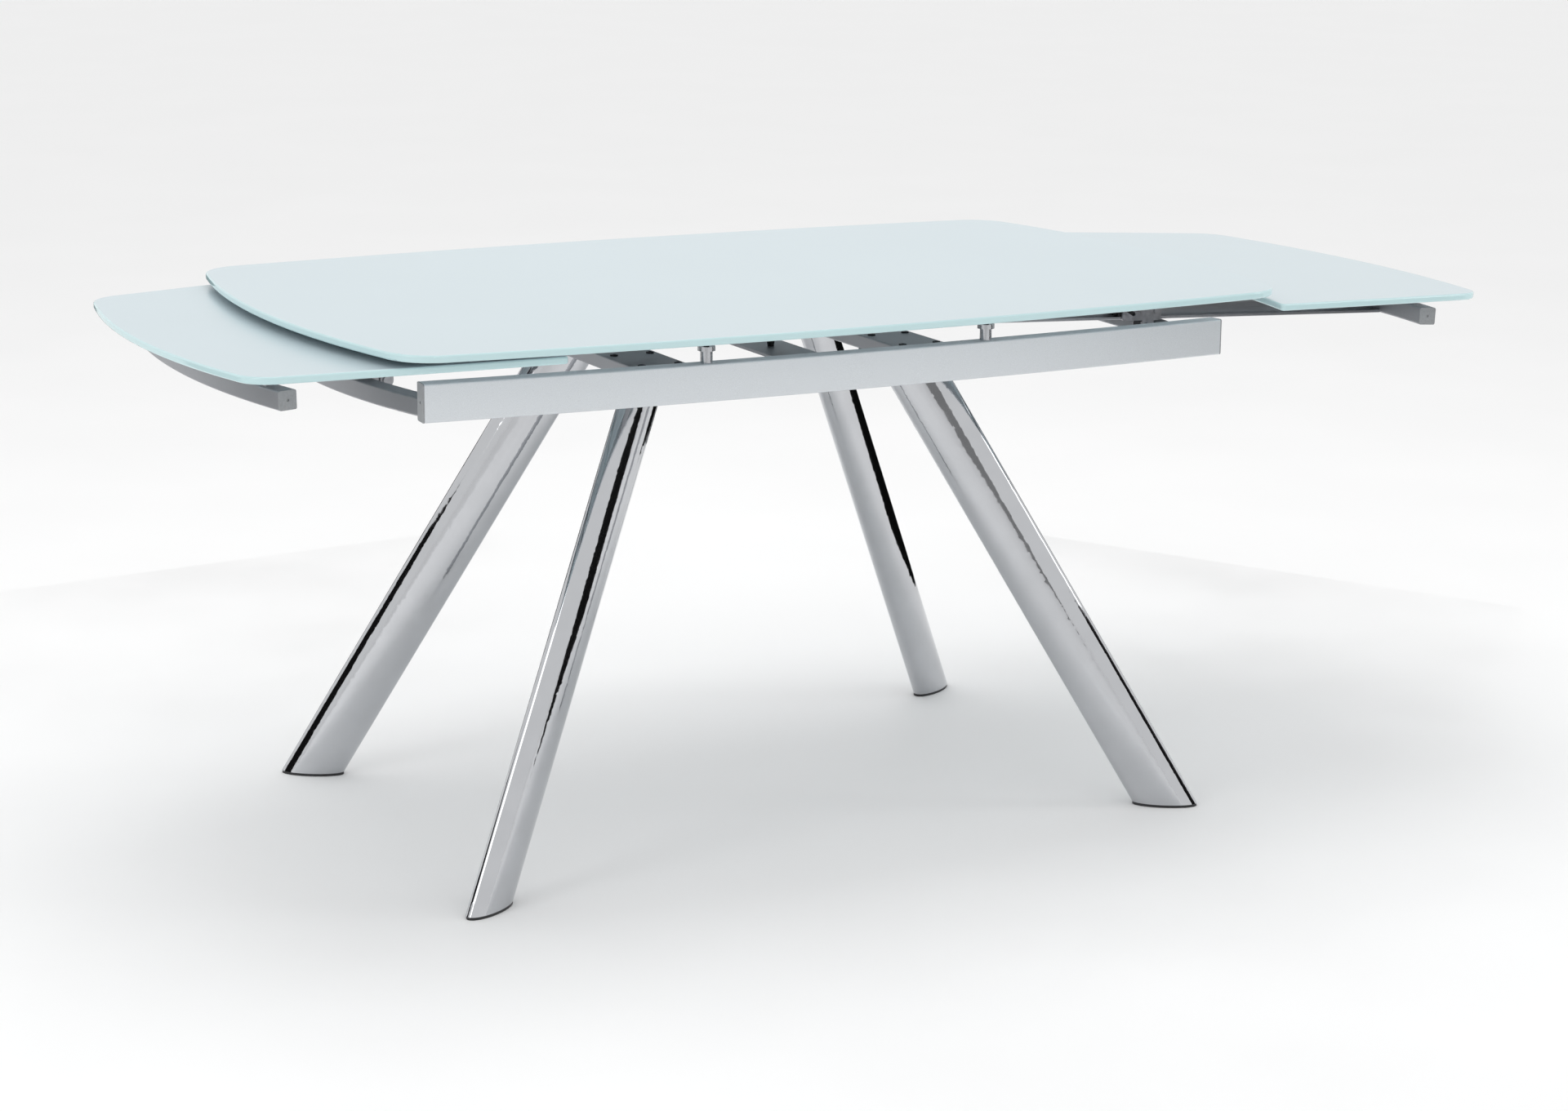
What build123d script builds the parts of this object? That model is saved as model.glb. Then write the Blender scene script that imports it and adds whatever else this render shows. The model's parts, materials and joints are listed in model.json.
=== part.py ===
"""Extending glass dining table.

A barrel shaped glass top stands on posts above a frame of bowed steel rails,
carried by four splayed oval legs.  A glass leaf slides out at each end on two
channel runners.  Each runner rests on a roller and is held by a guide shoe on a
pivoting cradle plate, so the leaf droops a little more the further it comes out.
The left leaf is drawn part of the way out and the right leaf fully out.

Origin: on the floor under the middle of the main top.  +X runs along the table,
+Y to the back, +Z up.  Millimetres.
"""
from build123d import *
import os
from math import atan2, cos, degrees, hypot, sin, sqrt

os.makedirs("parts", exist_ok=True)

# ---------------------------------------------------------------- driving sizes
TABLE_HEIGHT = 750.0
GLASS = 10.0
GLASS_EDGE = 3.0
TOP_HALF_LENGTH = 697.0
TOP_HALF_WIDTH = 439.5
TOP_CORNER_X = 646.0      # where the end and side arcs would cross
TOP_CORNER_Y = 407.0
TOP_CORNER_RADIUS = 69.0

RAIL_BOTTOM = 650.0
RAIL_HEIGHT = 50.0
RAIL_HALF_LENGTH = 597.0
RAIL_CROWN_Y = 353.0      # outer face at the middle of the rail
RAIL_RADIUS = 7815.0
TUBE = 25.0               # thickness of rails, end bars and leaf bars
TUBE_WALL = 2.0
TUBE_EDGE = 2.5

END_BAR_CROWN_X = 625.0   # outer face of the frame's end bar at its middle
END_BAR_RADIUS = 1146.0
END_BAR_REACH = 312.0

CROSS_X = 200.0
CROSS_WIDTH = 80.0
CROSS_HEIGHT = 20.0
PLATE_WIDTH = 70.0
PLATE_THICKNESS = 4.0
PLATE_TOP = 671.0
BUMPER_Y = 110.0
BUMPER_HEIGHT = 7.5

FOOT_X = 526.1            # where a leg's axis meets the floor
FOOT_Y = 341.8
LEG_SLOPE_X = 0.5018      # inward travel per unit of height
LEG_SLOPE_Y = 0.3225
LEG_MAJOR = 40.0
LEG_MINOR = 19.0
LEG_WALL = 2.0
GLIDE_HEIGHT = 4.0
MOUNT_PLATE = 4.0
SCREW_CENTRE_X = 200.0
SCREW_CENTRE_Y = 130.0
SCREW_SPACING_X = 54.0
SCREW_SPACING_Y = 90.0
SCREW_RADIUS = 4.0
SCREW_HEAD_RADIUS = 5.5
SCREW_HEAD = 2.0
SOCKET_RADIUS = 2.9
SOCKET_DEPTH = 1.5

POST_X = 210.0
POST_RADIUS = 8.0
POST_HEIGHT = 16.0
COLLAR_RADIUS = 11.5
COLLAR_HEIGHT = 6.0
STUD_RADIUS = 4.0
DISC_RADIUS = 20.0
DISC_THICKNESS = 4.0

PIVOT_X = 573.5           # roller axle and cradle pivot
PIVOT_Z = 670.7
ROLLER_RADIUS = 9.0
ROLLER_WIDTH = 18.0
AXLE_RADIUS = 4.0
TURNING_FIT = 0.05
RUNNING_GAP = 0.3
CHEEK = 3.0
CHEEK_GAP = 0.5
BRACKET_BOTTOM = 655.0
BRACKET_TOP = 676.5
BRACKET_INNER_X = 565.0

LEAF_CLOSED_REACH = 116.5  # pivot to the leaf's outer end when pushed in
LEFT_OUT = 176.0           # how far each leaf is drawn out
RIGHT_OUT = 392.0
DROOP_PER_MM = 0.0001135   # radians of droop per millimetre drawn out
SPACER = 17.5              # leaf glass to runner
LEAF_CORNER_BACK = 40.8
LEAF_CORNER_Y = 345.3
LEAF_CORNER_RADIUS = 50.0
LEAF_INNER_CORNER_RADIUS = 5.0
LEAF_INNER_CORNER_BACK = 436.0
LEAF_INNER_CORNER_Y = 405.0
LEAF_INNER_BACK = 385.0
LEAF_SIDE_BACK = 238.4
LEAF_SIDE_Y = 376.9

LEAF_BAR_BACK = 57.0       # bar's outer face, back from the leaf's outer end
LEAF_BAR_RADIUS = 1550.0
LEAF_BAR_REACH = 300.0
RUNNER_BACK = 882.0
RUNNER_SIZE = 25.0
RUNNER_LIP = 4.0
RUNNER_WEB = 4.0
LEFT_RUNNER_Y = 117.5      # middle of each runner; the pairs pass side by side
RIGHT_RUNNER_Y = 167.5
SHOE_BACK = 36.0
SHOE_FRONT = 18.0
CRADLE_PLATE = 3.0
CRADLE_BOSS = 9.0
CRADLE_GAP = 0.8

RAIL_TOP = RAIL_BOTTOM + RAIL_HEIGHT
CROSS_TOP = RAIL_BOTTOM + CROSS_HEIGHT
LEG_TOP = RAIL_BOTTOM - MOUNT_PLATE
GLASS_UNDERSIDE = TABLE_HEIGHT - GLASS
RUNNER_FLOOR = ROLLER_RADIUS + RUNNING_GAP          # above the pivot
RUNNER_TOP = RUNNER_FLOOR + RUNNER_SIZE
LEAF_UNDERSIDE = RUNNER_TOP + SPACER
RAIL_INNER_RADIUS = RAIL_RADIUS - TUBE
RAIL_CENTRE_Y = RAIL_CROWN_Y - RAIL_RADIUS          # of the arcs, back rail

SIDES = {"left": -1, "right": 1}
ROWS = {"front": -1, "rear": 1}
OUT = {"left": LEFT_OUT, "right": RIGHT_OUT}
RUNNER_Y = {"left": LEFT_RUNNER_Y, "right": RIGHT_RUNNER_Y}


def save(piece, node):
    """Label a finished piece and write its STEP file."""
    piece.part.label = node
    export_step(piece.part, f"parts/{node}.step")


def arc_drop(radius, reach):
    """How far an arc falls away from its crown at a distance along the chord."""
    return radius - sqrt(radius**2 - reach**2)


def bowed_tube(base, radius, reach, width, height):
    """Square-ended tube along the base plane's X, crowned towards its Y.

    The outer face's crown is at the plane's origin and the tube stands on it.
    """
    middle = radius - width / 2
    drop = -width / 2 - arc_drop(middle, reach)
    with BuildPart() as tube:
        with BuildLine(base.offset(height / 2)) as path:
            ThreePointArc((-reach, drop), (0, -width / 2), (reach, drop))
        start = path.line % 0
        with BuildSketch(Plane(origin=path.line @ 0, x_dir=base.z_dir, z_dir=start)):
            RectangleRounded(height, width, TUBE_EDGE)
            Rectangle(height - 2 * TUBE_WALL, width - 2 * TUBE_WALL, mode=Mode.SUBTRACT)
        sweep()
    return tube


def tube_caps(base, radius, reach, width, height):
    """Plastic caps plugged into both ends of a bowed tube."""
    middle = radius - width / 2
    drop = -width / 2 - arc_drop(middle, reach)
    along = Vector(sqrt(middle**2 - reach**2), -reach, 0).normalized()
    with BuildPart() as caps:
        for end in (-1, 1):
            out = base.x_dir * end * along.X + base.y_dir * along.Y
            origin = base.from_local_coords((end * reach, drop, height / 2))
            face = Plane(origin=origin, x_dir=base.z_dir, z_dir=out)
            with BuildSketch(face):
                RectangleRounded(height, width, TUBE_EDGE)
            extrude(amount=2)
            with BuildSketch(face):
                Rectangle(height - 2 * TUBE_WALL - 0.4, width - 2 * TUBE_WALL - 0.4)
            extrude(amount=-12)
            with BuildSketch(face.offset(2)):
                Circle(1.8)
            extrude(amount=-1.2, mode=Mode.SUBTRACT)
    return caps


POST_Y = RAIL_CROWN_Y - TUBE / 2 - arc_drop(RAIL_RADIUS, POST_X)


def rail_plane(row):
    """Plane on a rail's underside at its outer crown, local Y outwards."""
    return Plane(origin=(0, row * RAIL_CROWN_Y, RAIL_BOTTOM), x_dir=(row, 0, 0), z_dir=(0, 0, 1))


# ---------------------------------------------------------------- main glass
with BuildPart() as main_top:
    with BuildSketch(Plane.XY.offset(GLASS_UNDERSIDE)) as top_outline:
        with BuildLine():
            for end in (-1, 1):
                ThreePointArc(
                    (end * TOP_CORNER_X, -TOP_CORNER_Y),
                    (end * TOP_HALF_LENGTH, 0),
                    (end * TOP_CORNER_X, TOP_CORNER_Y),
                )
            for row in (-1, 1):
                ThreePointArc(
                    (-TOP_CORNER_X, row * TOP_CORNER_Y),
                    (0, row * TOP_HALF_WIDTH),
                    (TOP_CORNER_X, row * TOP_CORNER_Y),
                )
        make_face()
        fillet(top_outline.vertices(), radius=TOP_CORNER_RADIUS)
    extrude(amount=GLASS)
    rim = main_top.faces().sort_by(Axis.Z)
    fillet(rim[0].edges() + rim[-1].edges(), radius=GLASS_EDGE)
save(main_top, "main_top")

# ---------------------------------------------------------------- frame tubes
for name, row in ROWS.items():
    bare_rail = bowed_tube(rail_plane(row), RAIL_RADIUS, RAIL_HALF_LENGTH, TUBE, RAIL_HEIGHT)
    with BuildPart() as rail:
        add(bare_rail.part)
        with BuildSketch(Plane.XY.offset(RAIL_TOP)):
            with Locations((-POST_X, row * POST_Y), (POST_X, row * POST_Y)):
                Circle(STUD_RADIUS)
        extrude(amount=-2 * TUBE_WALL, mode=Mode.SUBTRACT)
    save(rail, f"{name}_rail")
    caps = tube_caps(rail_plane(row), RAIL_RADIUS, RAIL_HALF_LENGTH, TUBE, RAIL_HEIGHT)
    save(caps, f"{name}_rail_caps")

for name, side in SIDES.items():
    base = Plane(
        origin=(side * END_BAR_CROWN_X, 0, RAIL_BOTTOM), x_dir=(0, -side, 0), z_dir=(0, 0, 1)
    )
    long_bar = bowed_tube(base, END_BAR_RADIUS, END_BAR_REACH, TUBE, TUBE)
    with BuildPart() as end_bar:
        add(long_bar.part)
        for row in (-1, 1):
            with BuildSketch(Plane.XY.offset(RAIL_BOTTOM - 1)):
                with Locations((0, row * RAIL_CENTRE_Y)):
                    Circle(RAIL_INNER_RADIUS)
            extrude(amount=RAIL_HEIGHT, mode=Mode.INTERSECT)
    save(end_bar, f"{name}_end_bar")

for name, side in SIDES.items():
    with BuildPart() as crossmember:
        with BuildSketch(Plane.XZ):
            with Locations((side * CROSS_X, RAIL_BOTTOM + CROSS_HEIGHT / 2)):
                RectangleRounded(CROSS_WIDTH, CROSS_HEIGHT, TUBE_EDGE)
                Rectangle(
                    CROSS_WIDTH - 2 * TUBE_WALL, CROSS_HEIGHT - 2 * TUBE_WALL, mode=Mode.SUBTRACT
                )
        extrude(amount=RAIL_CROWN_Y, both=True)
        for row in (-1, 1):
            with BuildSketch(Plane.XY.offset(RAIL_BOTTOM - 1)):
                with Locations((0, row * RAIL_CENTRE_Y)):
                    Circle(RAIL_INNER_RADIUS)
            extrude(amount=RAIL_HEIGHT, mode=Mode.INTERSECT)
            with BuildSketch(Plane.XY.offset(RAIL_BOTTOM - 1)):
                with Locations((side * SCREW_CENTRE_X, row * SCREW_CENTRE_Y)):
                    with GridLocations(SCREW_SPACING_X, SCREW_SPACING_Y, 2, 2):
                        Circle(SCREW_RADIUS)
            extrude(amount=RAIL_HEIGHT, mode=Mode.SUBTRACT)
    save(crossmember, f"{name}_crossmember")

with BuildPart() as centre_plate:
    with BuildSketch(Plane.XY.offset(PLATE_TOP)):
        Rectangle(PLATE_WIDTH, 2 * RAIL_CROWN_Y)
    extrude(amount=-PLATE_THICKNESS)
    for row in (-1, 1):
        with BuildSketch(Plane.XY.offset(PLATE_TOP)):
            with Locations((0, row * RAIL_CENTRE_Y)):
                Circle(RAIL_INNER_RADIUS)
        extrude(amount=-RAIL_HEIGHT, mode=Mode.INTERSECT)
save(centre_plate, "centre_plate")

with BuildPart() as centre_bumpers:
    with BuildSketch(Plane.XY.offset(PLATE_TOP)):
        with Locations((0, -BUMPER_Y), (0, BUMPER_Y)):
            Circle(4.5)
    extrude(amount=BUMPER_HEIGHT, taper=-8)
save(centre_bumpers, "centre_bumpers")


# ---------------------------------------------------------------- legs
spread = hypot(LEG_SLOPE_X, LEG_SLOPE_Y)
footprint = LEG_MAJOR * sqrt(1 + spread**2)


def leg_plane(side, row):
    """Plane across a leg at the floor: local Z up the leg, local X the long way."""
    return Plane(
        origin=(side * FOOT_X, row * FOOT_Y, 0),
        x_dir=(side / LEG_SLOPE_X, row * LEG_SLOPE_Y / LEG_SLOPE_X**2, spread**2 / LEG_SLOPE_X**2),
        z_dir=(-side * LEG_SLOPE_X, -row * LEG_SLOPE_Y, 1),
    )


for row_name, row in ROWS.items():
    for side_name, side in SIDES.items():
        with BuildPart() as leg:
            with BuildSketch(leg_plane(side, row)):
                Ellipse(LEG_MAJOR, LEG_MINOR)
                Ellipse(LEG_MAJOR - LEG_WALL, LEG_MINOR - LEG_WALL, mode=Mode.SUBTRACT)
            extrude(amount=1.5 * LEG_TOP)
            extrude(leg.faces().sort_by(Axis.Z)[0], amount=2 * LEG_MAJOR)
            with BuildSketch(Plane.XY.offset(GLIDE_HEIGHT)):
                Rectangle(3 * FOOT_X, 3 * FOOT_X)
            extrude(amount=LEG_TOP - GLIDE_HEIGHT, mode=Mode.INTERSECT)
        save(leg, f"{row_name}_{side_name}_leg")

        with BuildPart() as glide:
            with BuildSketch(leg_plane(side, row)):
                Ellipse(LEG_MAJOR - LEG_WALL - 0.2, LEG_MINOR - LEG_WALL - 0.2)
            extrude(amount=2 * LEG_MAJOR, both=True)
            with BuildSketch(Plane.XY):
                Rectangle(3 * FOOT_X, 3 * FOOT_X)
            extrude(amount=4 * GLIDE_HEIGHT, mode=Mode.INTERSECT)
            with BuildSketch(Plane.XY):
                with Locations(
                    (
                        side * (FOOT_X - LEG_SLOPE_X * GLIDE_HEIGHT),
                        row * (FOOT_Y - LEG_SLOPE_Y * GLIDE_HEIGHT),
                    )
                ):
                    turn = degrees(atan2(row * LEG_SLOPE_Y, side * LEG_SLOPE_X))
                    Ellipse(footprint - 0.5, LEG_MINOR - 0.5, rotation=turn)
            extrude(amount=GLIDE_HEIGHT)
        save(glide, f"{row_name}_{side_name}_glide")

with BuildPart() as leg_plates:
    with BuildSketch(Plane.XY.offset(RAIL_BOTTOM)):
        for side in (-1, 1):
            for row in (-1, 1):
                with Locations((side * SCREW_CENTRE_X, row * SCREW_CENTRE_Y)):
                    RectangleRounded(CROSS_WIDTH, SCREW_SPACING_Y + 36, 5)
                    with GridLocations(SCREW_SPACING_X, SCREW_SPACING_Y, 2, 2):
                        Circle(SCREW_RADIUS, mode=Mode.SUBTRACT)
    extrude(amount=-MOUNT_PLATE)
save(leg_plates, "leg_plates")

with BuildPart() as leg_screws:
    for top, bottom, radius in (
        (CROSS_TOP + SCREW_HEAD, CROSS_TOP, SCREW_HEAD_RADIUS),
        (CROSS_TOP, LEG_TOP - 1, SCREW_RADIUS),
    ):
        with BuildSketch(Plane.XY.offset(bottom)):
            for side in (-1, 1):
                for row in (-1, 1):
                    with Locations((side * SCREW_CENTRE_X, row * SCREW_CENTRE_Y)):
                        with GridLocations(SCREW_SPACING_X, SCREW_SPACING_Y, 2, 2):
                            Circle(radius)
        extrude(amount=top - bottom)
    fillet(leg_screws.edges().group_by(Axis.Z)[-1], radius=0.8)
    with BuildSketch(Plane.XY.offset(CROSS_TOP + SCREW_HEAD)):
        for side in (-1, 1):
            for row in (-1, 1):
                with Locations((side * SCREW_CENTRE_X, row * SCREW_CENTRE_Y)):
                    with GridLocations(SCREW_SPACING_X, SCREW_SPACING_Y, 2, 2):
                        RegularPolygon(SOCKET_RADIUS, 6)
    extrude(amount=-SOCKET_DEPTH, mode=Mode.SUBTRACT)
save(leg_screws, "leg_screws")

# ---------------------------------------------------------------- main glass supports
post_spots = [(side * POST_X, row * POST_Y) for side in (-1, 1) for row in (-1, 1)]

with BuildPart() as glass_posts:
    for bottom, height, radius in (
        (RAIL_TOP, POST_HEIGHT, POST_RADIUS),
        (RAIL_TOP + POST_HEIGHT, COLLAR_HEIGHT, COLLAR_RADIUS),
    ):
        with BuildSketch(Plane.XY.offset(bottom)):
            with Locations(*post_spots):
                Circle(radius)
        extrude(amount=height)
    with BuildSketch(Plane.XY.offset(RAIL_TOP)):
        with Locations(*post_spots):
            Circle(STUD_RADIUS)
    extrude(amount=POST_HEIGHT + COLLAR_HEIGHT, mode=Mode.SUBTRACT)
save(glass_posts, "glass_posts")

with BuildPart() as glass_studs:
    with BuildSketch(Plane.XY.offset(RAIL_TOP - 8)):
        with Locations(*post_spots):
            Circle(STUD_RADIUS)
    extrude(amount=GLASS_UNDERSIDE - DISC_THICKNESS - RAIL_TOP + 8)
save(glass_studs, "glass_studs")

with BuildPart() as glass_discs:
    with BuildSketch(Plane.XY.offset(GLASS_UNDERSIDE)):
        with Locations(*post_spots):
            Circle(DISC_RADIUS)
    extrude(amount=-DISC_THICKNESS)
    fillet(glass_discs.edges().group_by(Axis.Z)[0], radius=1.5)
save(glass_discs, "glass_discs")


# ---------------------------------------------------------------- roller brackets
def across(plane, distance):
    """Plane whose normal is the given plane's Y, that far along it."""
    return Plane(
        origin=plane.from_local_coords((0, distance, 0)), x_dir=plane.x_dir, z_dir=plane.y_dir
    )


for name, side in SIDES.items():
    pivot = Plane(origin=(side * PIVOT_X, 0, PIVOT_Z), x_dir=(side, 0, 0), z_dir=(0, 0, 1))
    cheek_out = ROLLER_WIDTH / 2 + CHEEK_GAP + CHEEK
    with BuildPart() as brackets:
        for row in (-1, 1):
            with BuildSketch(Plane.XY.offset(BRACKET_BOTTOM)):
                with Locations((side * (PIVOT_X + 12), row * RUNNER_Y[name])):
                    Rectangle(2 * (PIVOT_X + 12 - BRACKET_INNER_X), 2 * cheek_out)
            extrude(amount=BRACKET_TOP - BRACKET_BOTTOM)
        with BuildSketch(Plane.XY.offset(BRACKET_BOTTOM)):
            with Locations((side * (END_BAR_CROWN_X - END_BAR_RADIUS), 0)):
                Circle(END_BAR_RADIUS - TUBE)
        extrude(amount=BRACKET_TOP - BRACKET_BOTTOM, mode=Mode.INTERSECT)
        for row in (-1, 1):
            with BuildSketch(Plane.XY.offset(BRACKET_BOTTOM)):
                with Locations((side * (PIVOT_X - 5), row * RUNNER_Y[name])):
                    Rectangle(2 * (ROLLER_RADIUS + 6.5), ROLLER_WIDTH + 2 * CHEEK_GAP)
            extrude(amount=BRACKET_TOP - BRACKET_BOTTOM, mode=Mode.SUBTRACT)
            with BuildSketch(across(pivot, side * row * RUNNER_Y[name])):
                Circle(AXLE_RADIUS)
            extrude(amount=cheek_out, both=True, mode=Mode.SUBTRACT)
    save(brackets, f"{name}_roller_brackets")

    with BuildPart() as axles:
        for row in (-1, 1):
            inner = RUNNER_Y[name] - cheek_out - 2
            plate_out = RUNNER_SIZE / 2 + CRADLE_GAP + CRADLE_PLATE
            with BuildSketch(across(pivot, side * row * inner)):
                Circle(AXLE_RADIUS)
            extrude(amount=side * row * (cheek_out + 2 + plate_out + RUNNING_GAP))
            with BuildSketch(across(pivot, side * row * (RUNNER_Y[name] + plate_out + RUNNING_GAP))):
                Circle(AXLE_RADIUS + 2)
            extrude(amount=side * row * 2.5)
    save(axles, f"{name}_roller_axles")

    with BuildPart() as rollers:
        for row in (-1, 1):
            with BuildSketch(across(pivot, side * row * RUNNER_Y[name])):
                Circle(ROLLER_RADIUS)
                Circle(AXLE_RADIUS + TURNING_FIT, mode=Mode.SUBTRACT)
            extrude(amount=ROLLER_WIDTH / 2, both=True)
    save(rollers, f"{name}_rollers")

# ---------------------------------------------------------------- leaves and cradles
for name, side in SIDES.items():
    droop = DROOP_PER_MM * OUT[name]
    reach = LEAF_CLOSED_REACH + OUT[name]
    runner_y = RUNNER_Y[name]
    slope = Plane(
        origin=(side * PIVOT_X, 0, PIVOT_Z),
        x_dir=(side * cos(droop), 0, -sin(droop)),
        z_dir=(side * sin(droop), 0, cos(droop)),
    )
    channel_low = RUNNER_FLOOR + RUNNER_LIP
    channel_high = RUNNER_TOP - RUNNER_LIP
    face_y = runner_y + RUNNER_SIZE / 2
    plate_y = face_y + CRADLE_GAP

    with BuildPart() as leaf_glass:
        with BuildSketch(slope.offset(LEAF_UNDERSIDE)) as leaf_outline:
            with BuildLine():
                corner_x = reach - LEAF_CORNER_BACK
                inner_x = reach - LEAF_INNER_CORNER_BACK
                ThreePointArc((corner_x, -LEAF_CORNER_Y), (reach, 0), (corner_x, LEAF_CORNER_Y))
                for row in (-1, 1):
                    ThreePointArc(
                        (corner_x, row * LEAF_CORNER_Y),
                        (reach - LEAF_SIDE_BACK, row * LEAF_SIDE_Y),
                        (inner_x, row * LEAF_INNER_CORNER_Y),
                    )
                ThreePointArc(
                    (inner_x, -LEAF_INNER_CORNER_Y),
                    (reach - LEAF_INNER_BACK, 0),
                    (inner_x, LEAF_INNER_CORNER_Y),
                )
            make_face()
            fillet(leaf_outline.vertices().sort_by(Axis.X)[-2:], radius=LEAF_CORNER_RADIUS)
            fillet(leaf_outline.vertices().sort_by(Axis.X)[:2], radius=LEAF_INNER_CORNER_RADIUS)
        extrude(amount=GLASS)
        broad = leaf_glass.faces().sort_by(SortBy.AREA)[-2:]
        fillet(broad[0].edges() + broad[1].edges(), radius=GLASS_EDGE)
    save(leaf_glass, f"{name}_leaf_glass")

    bar_base = Plane(
        origin=slope.from_local_coords((reach - LEAF_BAR_BACK, 0, RUNNER_FLOOR)),
        x_dir=-slope.y_dir,
        z_dir=slope.z_dir,
    )
    leaf_bar = bowed_tube(bar_base, LEAF_BAR_RADIUS, LEAF_BAR_REACH, TUBE, TUBE)
    save(leaf_bar, f"{name}_leaf_bar")
    leaf_bar_caps = tube_caps(bar_base, LEAF_BAR_RADIUS, LEAF_BAR_REACH, TUBE, TUBE)
    save(leaf_bar_caps, f"{name}_leaf_bar_caps")

    for row_name, row in ROWS.items():
        end_face = Plane(
            origin=slope.from_local_coords((reach - RUNNER_BACK, side * row * runner_y, RUNNER_FLOOR)),
            x_dir=slope.y_dir,
            z_dir=slope.x_dir,
        )
        opening = side * row
        with BuildPart() as runner:
            with BuildSketch(end_face):
                with Locations((0, RUNNER_SIZE / 2)):
                    RectangleRounded(RUNNER_SIZE, RUNNER_SIZE, 1)
                with Locations((opening * RUNNER_WEB, RUNNER_SIZE / 2)):
                    Rectangle(RUNNER_SIZE, RUNNER_SIZE - 2 * RUNNER_LIP, mode=Mode.SUBTRACT)
            extrude(amount=RUNNER_BACK - LEAF_BAR_BACK)
            with BuildSketch(slope):
                with Locations((reach - LEAF_BAR_BACK - LEAF_BAR_RADIUS, 0)):
                    Circle(LEAF_BAR_RADIUS - TUBE)
            extrude(amount=RUNNER_TOP + 1, mode=Mode.INTERSECT)
        save(runner, f"{name}_leaf_{row_name}_runner")

    with BuildPart() as runner_plugs:
        for row in (-1, 1):
            end_face = Plane(
                origin=slope.from_local_coords((reach - RUNNER_BACK, side * row * runner_y, RUNNER_FLOOR)),
                x_dir=slope.y_dir,
                z_dir=slope.x_dir,
            )
            with BuildSketch(end_face):
                with Locations((0, RUNNER_SIZE / 2)):
                    RectangleRounded(RUNNER_SIZE, RUNNER_SIZE, 1)
            extrude(amount=-3)
    save(runner_plugs, f"{name}_runner_plugs")

    with BuildPart() as runner_stops:
        for row in (-1, 1):
            stop_x = OUT[name] - RIGHT_OUT - SHOE_BACK
            with BuildSketch(slope.offset(channel_low)):
                with Locations((stop_x - 6.5, side * row * (face_y - 9.5))):
                    Rectangle(12, 17)
            extrude(amount=channel_high - channel_low)
    save(runner_stops, f"{name}_runner_stops")

    with BuildPart() as leaf_posts:
        holders = [
            (reach - LEAF_BAR_BACK - TUBE / 2 - arc_drop(LEAF_BAR_RADIUS, 255), row * 255)
            for row in (-1, 1)
        ] + [(reach - 360, row * runner_y) for row in (-1, 1)]
        with BuildSketch(slope.offset(RUNNER_TOP)):
            with Locations(*holders):
                Circle(POST_RADIUS)
        extrude(amount=SPACER - DISC_THICKNESS)
    save(leaf_posts, f"{name}_leaf_posts")

    with BuildPart() as leaf_discs:
        with BuildSketch(slope.offset(LEAF_UNDERSIDE)):
            with Locations(*holders):
                Circle(DISC_RADIUS)
        extrude(amount=-DISC_THICKNESS)
    save(leaf_discs, f"{name}_leaf_discs")

    with BuildPart() as cradle_plates:
        for row in (-1, 1):
            way = side * row
            with BuildSketch(across(slope, way * plate_y)):
                Circle(CRADLE_BOSS)
                with Locations((0, -CRADLE_BOSS)):
                    Rectangle(2 * CRADLE_BOSS, 2 * CRADLE_BOSS)
                with Locations((-12, -21)):
                    RectangleRounded(66, 26, 4)
                Circle(AXLE_RADIUS + TURNING_FIT, mode=Mode.SUBTRACT)
                with Locations((-32, -21)):
                    SlotCenterToCenter(14, 6, rotation=30, mode=Mode.SUBTRACT)
            extrude(amount=way * CRADLE_PLATE)
    save(cradle_plates, f"{name}_cradle_plates")

    shoe_depth = RUNNER_SIZE - RUNNER_WEB - 5
    shoe_middle = (channel_low + channel_high) / 2
    with BuildPart() as guide_shoes:
        for row in (-1, 1):
            way = side * row
            with BuildSketch(across(slope, way * plate_y)):
                with Locations(((SHOE_FRONT - SHOE_BACK) / 2, -shoe_middle)):
                    RectangleRounded(
                        SHOE_FRONT + SHOE_BACK, channel_high - channel_low - 2 * RUNNING_GAP, 5
                    )
            extrude(amount=-way * shoe_depth)
    save(guide_shoes, f"{name}_guide_shoes")

    with BuildPart() as cradle_rivets:
        for row in (-1, 1):
            way = side * row
            with BuildSketch(across(slope, way * (plate_y + CRADLE_PLATE))):
                with Locations((12, -shoe_middle), (-14, -shoe_middle)):
                    Circle(4.5)
            extrude(amount=way * 2.5)
    save(cradle_rivets, f"{name}_cradle_rivets")
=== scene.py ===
"""Looks, light and camera for the extending glass dining table.  Metres, in the CAD's frame."""

import json
import math

import bpy
from mathutils import Matrix, Vector

CAMERA_PLACE = (-2.10757, -4.23026, 1.46657)
CAMERA_AZIMUTH = -27.345
CAMERA_ELEVATION = 13.297
CAMERA_ROLL = 0.4244
CAMERA_LENS = 77.66
FLOOR_REACH = 60.0
SENSOR_WIDTH = 36.0
CAMERA_FAR = 200.0
CARD_HEIGHT = 0.70

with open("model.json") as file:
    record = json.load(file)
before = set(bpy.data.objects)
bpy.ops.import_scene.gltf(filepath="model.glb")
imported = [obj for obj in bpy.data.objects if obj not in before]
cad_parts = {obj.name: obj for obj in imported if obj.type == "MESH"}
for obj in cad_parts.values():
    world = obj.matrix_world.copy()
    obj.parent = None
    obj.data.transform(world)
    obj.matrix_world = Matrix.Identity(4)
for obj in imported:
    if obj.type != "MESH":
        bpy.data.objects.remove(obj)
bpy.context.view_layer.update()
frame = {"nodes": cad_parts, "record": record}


# ---------------------------------------------------------------- materials
def new_material(name):
    """A node material and its Principled shader."""
    mat = bpy.data.materials.new(name)
    mat.use_nodes = True
    return mat, mat.node_tree, mat.node_tree.nodes["Principled BSDF"]


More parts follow.
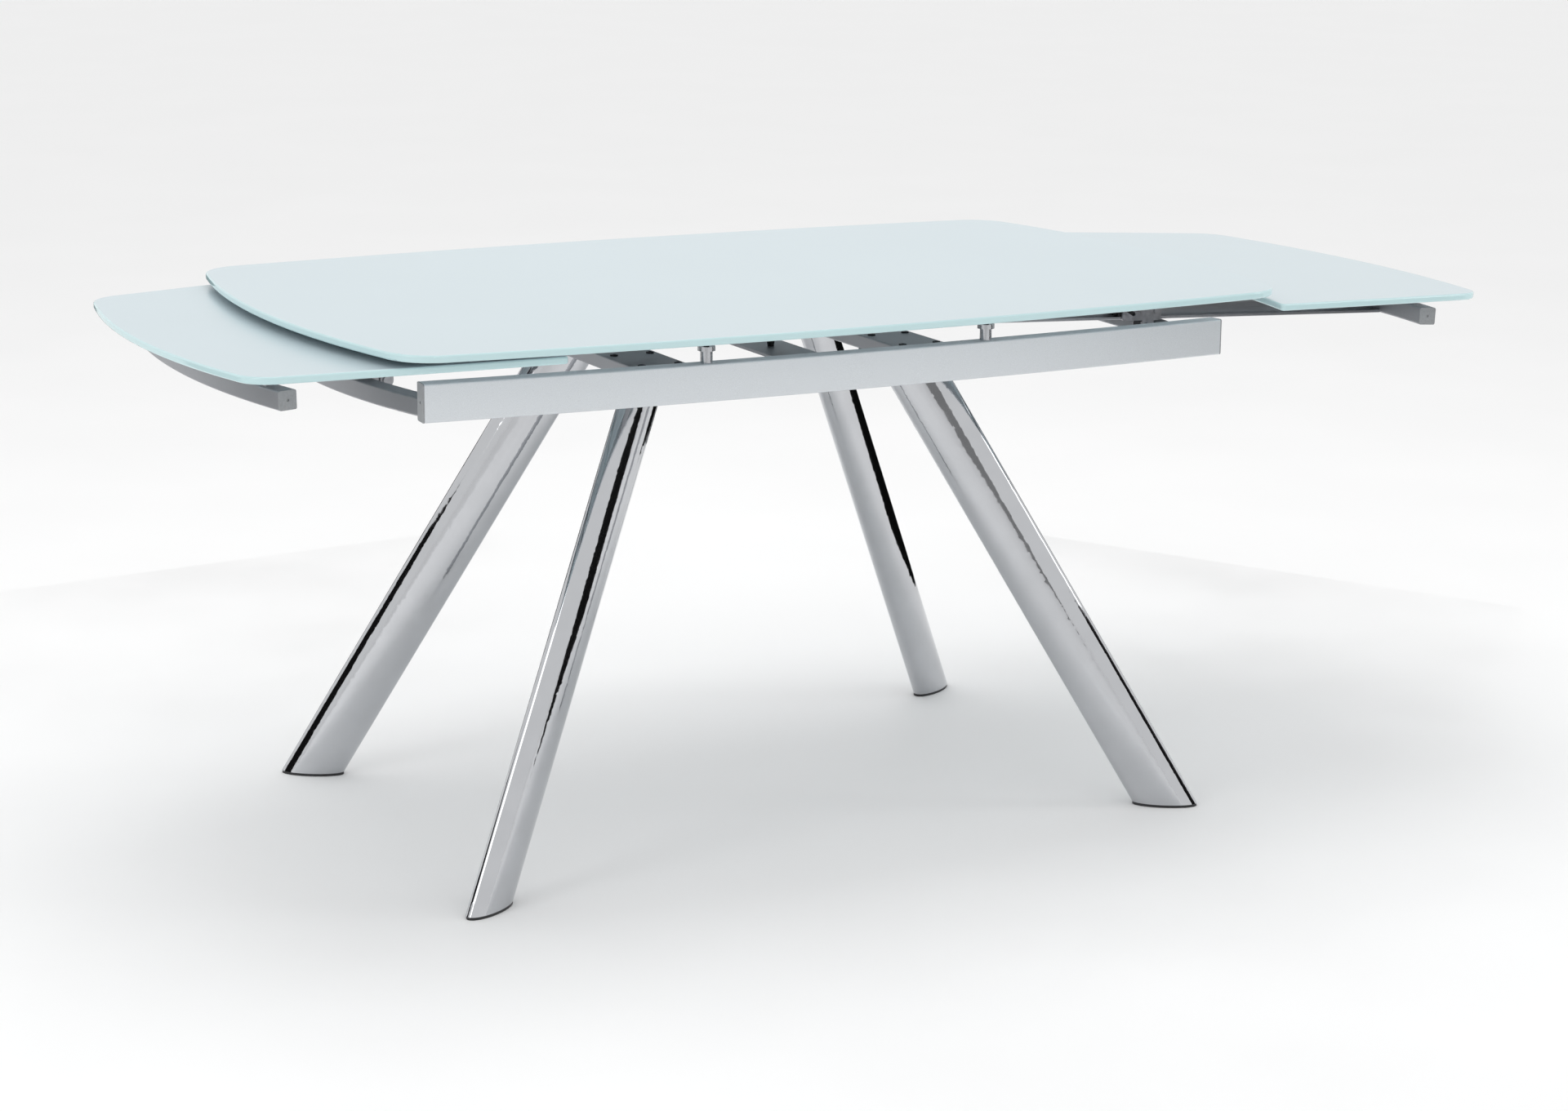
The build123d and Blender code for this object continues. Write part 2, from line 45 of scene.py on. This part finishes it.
def noise(tree, scale, detail=4.0, stretch=(1.0, 1.0, 1.0)):
    """Noise in the frame's own coordinates, stretched along an axis where asked."""
    place = tree.nodes.new("ShaderNodeTexCoord")
    mapping = tree.nodes.new("ShaderNodeMapping")
    mapping.inputs["Scale"].default_value = stretch
    tex = tree.nodes.new("ShaderNodeTexNoise")
    tex.inputs["Scale"].default_value = scale
    tex.inputs["Detail"].default_value = detail
    tree.links.new(place.outputs["Object"], mapping.inputs["Vector"])
    tree.links.new(mapping.outputs["Vector"], tex.inputs["Vector"])
    return tex.outputs["Fac"]


def ramp(tree, value, low, high, start=0.35, end=0.65):
    """Maps a grey value to colours or greys between two ends."""
    node = tree.nodes.new("ShaderNodeValToRGB")
    node.color_ramp.elements[0].position = start
    node.color_ramp.elements[1].position = end
    node.color_ramp.elements[0].color = (*low, 1.0)
    node.color_ramp.elements[1].color = (*high, 1.0)
    tree.links.new(value, node.inputs["Fac"])
    return node.outputs["Color"]


def bump(tree, shader, value, strength, distance=0.0005):
    """Small surface relief from a grey value."""
    node = tree.nodes.new("ShaderNodeBump")
    node.inputs["Strength"].default_value = strength
    node.inputs["Distance"].default_value = distance
    tree.links.new(value, node.inputs["Height"])
    tree.links.new(node.outputs["Normal"], shader.inputs["Normal"])


def surface(name, colour, metallic, rough, scale, vary=0.08, relief=0.0, stretch=(1, 1, 1)):
    """A solid finish whose colour and roughness vary slightly over the surface."""
    mat, tree, shader = new_material(name)
    value = noise(tree, scale, stretch=stretch)
    dark = [c * (1 - vary) for c in colour]
    light = [min(1.0, c * (1 + vary)) for c in colour]
    tree.links.new(ramp(tree, value, dark, light), shader.inputs["Base Color"])
    low, high = [rough * 0.85] * 3, [min(1.0, rough * 1.2)] * 3
    tree.links.new(ramp(tree, value, low, high), shader.inputs["Roughness"])
    shader.inputs["Metallic"].default_value = metallic
    if relief:
        bump(tree, shader, value, relief)
    return mat


def glass_finish(name, face, edge, see_through):
    """Frosted toughened glass: a pale sanded face and a clear polished aqua rim that carries a
    faint painted glow.
    """
    mat, tree, shader = new_material(name)
    value = noise(tree, 900.0, 2.0)
    cloud = noise(tree, 3.0, 3.0)
    dark = [c * 0.985 for c in face]
    tree.links.new(ramp(tree, cloud, dark, face), shader.inputs["Base Color"])
    shader.inputs["Roughness"].default_value = 0.32
    shader.inputs["IOR"].default_value = 1.5
    shader.inputs["Transmission Weight"].default_value = see_through
    shader.inputs["Coat Weight"].default_value = 0.25
    shader.inputs["Coat Roughness"].default_value = 0.12
    bump(tree, shader, value, 0.05, 0.0001)

    rim = tree.nodes.new("ShaderNodeBsdfPrincipled")
    rim.inputs["Base Color"].default_value = (*edge, 1.0)
    rim.inputs["Roughness"].default_value = 0.08
    rim.inputs["IOR"].default_value = 1.5
    rim.inputs["Transmission Weight"].default_value = 0.25
    # Painted glow: the rim gives off a faint aqua light of its own.
    rim.inputs["Emission Color"].default_value = (*edge, 1.0)
    rim.inputs["Emission Strength"].default_value = 0.08

    geometry = tree.nodes.new("ShaderNodeNewGeometry")
    split = tree.nodes.new("ShaderNodeSeparateXYZ")
    tree.links.new(geometry.outputs["Normal"], split.inputs["Vector"])
    upright = tree.nodes.new("ShaderNodeMath")
    upright.operation = "ABSOLUTE"
    tree.links.new(split.outputs["Z"], upright.inputs[0])
    share = tree.nodes.new("ShaderNodeMapRange")
    share.inputs["From Min"].default_value = 0.80
    share.inputs["From Max"].default_value = 0.97
    tree.links.new(upright.outputs["Value"], share.inputs["Value"])
    mix = tree.nodes.new("ShaderNodeMixShader")
    tree.links.new(share.outputs["Result"], mix.inputs["Fac"])
    tree.links.new(rim.outputs["BSDF"], mix.inputs[1])
    tree.links.new(shader.outputs["BSDF"], mix.inputs[2])
    tree.links.new(mix.outputs["Shader"], tree.nodes["Material Output"].inputs["Surface"])
    return mat


FINISHES = {
    "glass": glass_finish("frosted_glass", (0.53, 0.63, 0.67), (0.62, 0.83, 0.85), 0.06),
    "chrome": surface("chrome", (0.54, 0.55, 0.57), 1.0, 0.06, 25.0, vary=0.02),
    "silver_paint": surface(
        "silver_paint", (0.68, 0.71, 0.735), 0.35, 0.38, 1500.0, vary=0.07, relief=0.03
    ),
    "grey_paint": surface(
        "grey_paint", (0.34, 0.35, 0.37), 0.55, 0.38, 1500.0, vary=0.08, relief=0.03
    ),
    "aluminium": surface(
        "aluminium", (0.42, 0.43, 0.45), 0.9, 0.34, 40.0, vary=0.08, stretch=(1, 60, 60)
    ),
    "black_plastic": surface("black_plastic", (0.018, 0.018, 0.020), 0.0, 0.45, 300.0, relief=0.06),
    "grey_plastic": surface("grey_plastic", (0.30, 0.31, 0.32), 0.0, 0.45, 400.0, relief=0.05),
    "rubber": surface("rubber", (0.012, 0.012, 0.012), 0.0, 0.75, 200.0, relief=0.12),
    "black_steel": surface("black_steel", (0.025, 0.025, 0.028), 0.5, 0.38, 250.0, relief=0.04),
    "satin_steel": surface("satin_steel", (0.50, 0.51, 0.53), 1.0, 0.24, 120.0, vary=0.06),
    "zinc_steel": surface("zinc_steel", (0.40, 0.40, 0.42), 0.9, 0.36, 150.0, vary=0.10),
}
SLOT_OF = {part["node"]: part["material_slot"] for part in frame["record"]["subparts"]}

for node, obj in frame["nodes"].items():
    obj.data.materials.clear()
    obj.data.materials.append(FINISHES[SLOT_OF[node]])

# ---------------------------------------------------------------- floor and light
bpy.ops.mesh.primitive_plane_add(size=FLOOR_REACH, location=(0, 0, 0))
floor = bpy.context.object
floor.name = "studio_floor"
floor_finish = surface("studio_floor", (0.93, 0.93, 0.93), 0.0, 0.65, 2.0, vary=0.005)
floor.data.materials.append(floor_finish)


def clear_from_below(mat):
    """Lets the underside of the table be seen through the back of the floor."""
    tree = mat.node_tree
    side = tree.nodes.new("ShaderNodeNewGeometry")
    clear = tree.nodes.new("ShaderNodeBsdfTransparent")
    mix = tree.nodes.new("ShaderNodeMixShader")
    tree.links.new(side.outputs["Backfacing"], mix.inputs["Fac"])
    tree.links.new(tree.nodes["Principled BSDF"].outputs["BSDF"], mix.inputs[1])
    tree.links.new(clear.outputs["BSDF"], mix.inputs[2])
    tree.links.new(mix.outputs["Shader"], tree.nodes["Material Output"].inputs["Surface"])


clear_from_below(floor_finish)

world = bpy.data.worlds.new("studio")
bpy.context.scene.world = world
world.use_nodes = True
world.node_tree.nodes["Background"].inputs["Color"].default_value = (1.0, 1.0, 1.0, 1.0)
world.node_tree.nodes["Background"].inputs["Strength"].default_value = 0.92
bpy.context.scene.view_settings.view_transform = "Standard"


def area_light(name, place, target, size, power):
    """A soft rectangular light aimed at a point."""
    lamp = bpy.data.lights.new(name, "AREA")
    lamp.shape = "RECTANGLE"
    lamp.size, lamp.size_y = size
    lamp.energy = power
    obj = bpy.data.objects.new(name, lamp)
    obj.location = place
    aim = Vector(target) - Vector(place)
    obj.rotation_euler = aim.to_track_quat("-Z", "Y").to_euler()
    bpy.context.collection.objects.link(obj)


def reflector(name, azimuth, distance, height, size, shade):
    """A studio card that only shows in reflections, standing round the table."""
    angle = math.radians(azimuth)
    place = Vector((math.sin(angle), -math.cos(angle), 0.0)) * distance
    bpy.ops.mesh.primitive_plane_add(size=1.0, location=place + Vector((0, 0, height / 2)))
    card = bpy.context.object
    card.name = name
    card.scale = (size, height, 1.0)
    card.rotation_euler = (math.radians(90), 0.0, angle)
    mat = bpy.data.materials.new(name)
    mat.use_nodes = True
    tree = mat.node_tree
    tree.nodes.remove(tree.nodes["Principled BSDF"])
    glow = tree.nodes.new("ShaderNodeEmission")
    glow.inputs["Color"].default_value = (shade, shade, shade, 1.0)
    tree.links.new(glow.outputs["Emission"], tree.nodes["Material Output"].inputs["Surface"])
    card.data.materials.append(mat)
    card.visible_camera = False
    card.visible_diffuse = False
    card.visible_shadow = False
    card.visible_transmission = False


reflector("card_back_left", CAMERA_AZIMUTH + 180 + 34, 1.7, CARD_HEIGHT, 1.05, 0.004)
reflector("card_back_right", CAMERA_AZIMUTH + 180 - 34, 1.7, CARD_HEIGHT, 1.05, 0.004)
reflector("card_left", CAMERA_AZIMUTH - 82, 1.7, CARD_HEIGHT, 0.70, 0.01)
reflector("card_right", CAMERA_AZIMUTH + 82, 1.7, CARD_HEIGHT, 0.70, 0.01)
reflector("card_front", CAMERA_AZIMUTH, 6.5, 3.0, 4.5, 0.28)

area_light("overhead", (0.0, 0.5, 3.6), (0, 0, 0.7), (3.0, 2.0), 28.0)
area_light("left_side", (-3.6, -1.2, 2.0), (0, 0, 0.5), (1.2, 2.2), 16.0)
area_light("right_side", (3.6, -1.8, 1.8), (0, 0, 0.4), (0.8, 2.2), 12.0)


# ---------------------------------------------------------------- camera
def place_camera():
    """The camera, turned by azimuth, elevation and roll."""
    a, e, r = (math.radians(v) for v in (CAMERA_AZIMUTH, CAMERA_ELEVATION, CAMERA_ROLL))
    back = Vector((math.sin(a) * math.cos(e), -math.cos(a) * math.cos(e), math.sin(e)))
    right = Vector((math.cos(a), math.sin(a), 0.0))
    up = back.cross(right)
    right, up = math.cos(r) * right + math.sin(r) * up, math.cos(r) * up - math.sin(r) * right
    turn = Matrix((right, up, back)).transposed()
    data = bpy.data.cameras.new("camera")
    data.sensor_width = SENSOR_WIDTH
    data.lens = CAMERA_LENS
    data.dof.use_dof = False
    data.clip_end = CAMERA_FAR
    obj = bpy.data.objects.new("camera", data)
    obj.matrix_world = Matrix.Translation(CAMERA_PLACE) @ turn.to_4x4()
    bpy.context.collection.objects.link(obj)
    bpy.context.scene.camera = obj


place_camera()
